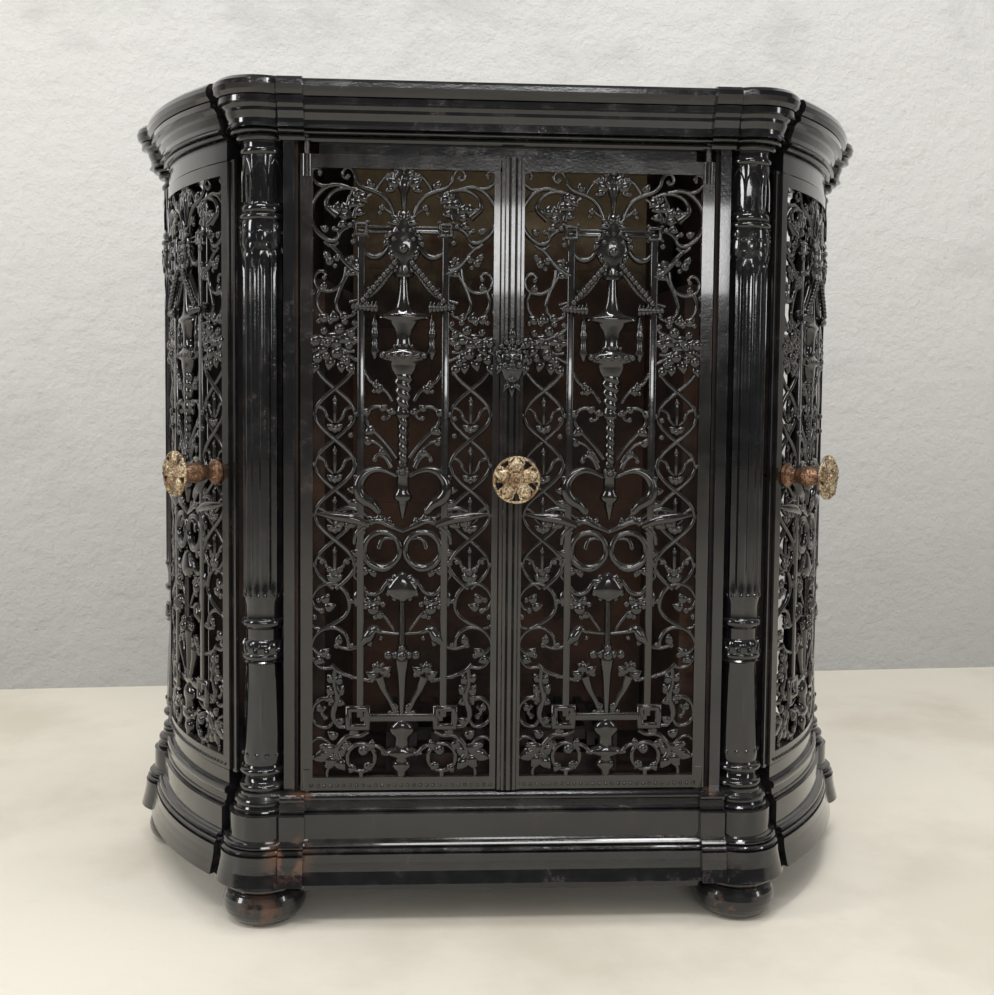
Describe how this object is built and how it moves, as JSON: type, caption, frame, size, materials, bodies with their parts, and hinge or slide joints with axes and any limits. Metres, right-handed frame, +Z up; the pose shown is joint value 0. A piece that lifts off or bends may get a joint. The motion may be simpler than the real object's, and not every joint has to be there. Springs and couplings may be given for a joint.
{
  "type": "cast iron fireplace insert",
  "caption": "Bowed cast iron fireplace insert with pierced front and side doors, corner columns, moulded base and cornice, bun feet, brick-lined fire chamber and rear flue collar.",
  "frame": {"origin": "on the floor under the middle of the bounding box", "axes": "+Z up, the front doors face -Y, +X to the right as seen from the front"},
  "size_m": [0.7902, 0.3324, 0.7946],
  "materials": {
    "black_enamel": "gloss black enamel",
    "foot_iron": "worn black enamel with rust spots",
    "door_iron": "semi-gloss dark iron",
    "sooted_iron": "matt, sooted and rusty",
    "firebrick": "matt cream refractory brick",
    "plain_steel": "dull steel",
    "aged_brass": "aged brass",
    "copper_brown": "aged copper-brown"
  },
  "bodies": {
    "body": {"base_plinth": "black_enamel", "hearth_plate": "sooted_iron", "foot_front_left": "foot_iron", "foot_front_right": "foot_iron", "foot_rear_left": "foot_iron", "foot_rear_right": "foot_iron", "column_front_left": "black_enamel", "column_front_right": "black_enamel", "column_rear_left": "black_enamel", "column_rear_right": "black_enamel", "tie_rods": "plain_steel", "dome_nuts": "black_enamel", "foot_nuts": "plain_steel", "jamb_front_left": "black_enamel", "jamb_front_right": "black_enamel", "jamb_side_left": "black_enamel", "jamb_side_right": "black_enamel", "cheek_left": "sooted_iron", "cheek_right": "sooted_iron", "back_plate": "sooted_iron", "flue_collar": "black_enamel", "flue_bolts": "plain_steel", "firebricks_back": "firebrick", "firebrick_left": "firebrick", "firebrick_right": "firebrick", "fire_grate": "sooted_iron", "ash_pan": "sooted_iron", "cornice": "black_enamel", "cover_plate": "black_enamel", "hinge_pins": "plain_steel"},
    "front_door_left": {"front_door_left_frame": "door_iron", "front_door_left_grille": "door_iron"},
    "front_door_right": {"front_door_right_frame": "door_iron", "front_door_right_grille": "door_iron", "meeting_strip": "door_iron", "strip_mask": "door_iron"},
    "side_door_left": {"side_door_left_frame": "door_iron", "side_door_left_grille": "door_iron"},
    "side_door_right": {"side_door_right_frame": "door_iron", "side_door_right_grille": "door_iron"},
    "knob_front": {"knob_front": "aged_brass", "spindle_front": "copper_brown", "latch_front": "plain_steel"},
    "knob_left": {"knob_left": "aged_brass", "spindle_left": "copper_brown", "latch_left": "plain_steel"},
    "knob_right": {"knob_right": "aged_brass", "spindle_right": "copper_brown", "latch_right": "plain_steel"}
  },
  "joints": [
    {"name": "front_door_left_hinge", "type": "hinge", "parent": "body", "child": "front_door_left", "pos_m": [-0.186, -0.10919, 0.423], "axis": [0, 0, -1], "range_deg": [0, 95]},
    {"name": "front_door_right_hinge", "type": "hinge", "parent": "body", "child": "front_door_right", "pos_m": [0.186, -0.10919, 0.423], "axis": [0, 0, 1], "range_deg": [0, 95]},
    {"name": "side_door_left_hinge", "type": "hinge", "parent": "body", "child": "side_door_left", "pos_m": [-0.35098, 0.06507, 0.428], "axis": [0, 0, -1], "range_deg": [0, 95]},
    {"name": "side_door_right_hinge", "type": "hinge", "parent": "body", "child": "side_door_right", "pos_m": [0.35098, 0.06507, 0.428], "axis": [0, 0, 1], "range_deg": [0, 95]},
    {"name": "knob_front_turn", "type": "hinge", "parent": "front_door_right", "child": "knob_front", "pos_m": [0.0063, -0.11719, 0.425], "axis": [0, -1, 0], "range_deg": [0, 90]},
    {"name": "knob_left_turn", "type": "hinge", "parent": "side_door_left", "child": "knob_left", "pos_m": [-0.2755, -0.07813, 0.425], "axis": [0.7446, 0.6675, 0], "range_deg": [0, 90]},
    {"name": "knob_right_turn", "type": "hinge", "parent": "side_door_right", "child": "knob_right", "pos_m": [0.2755, -0.07813, 0.425], "axis": [0.7446, -0.6675, 0], "range_deg": [0, 90]}
  ]
}
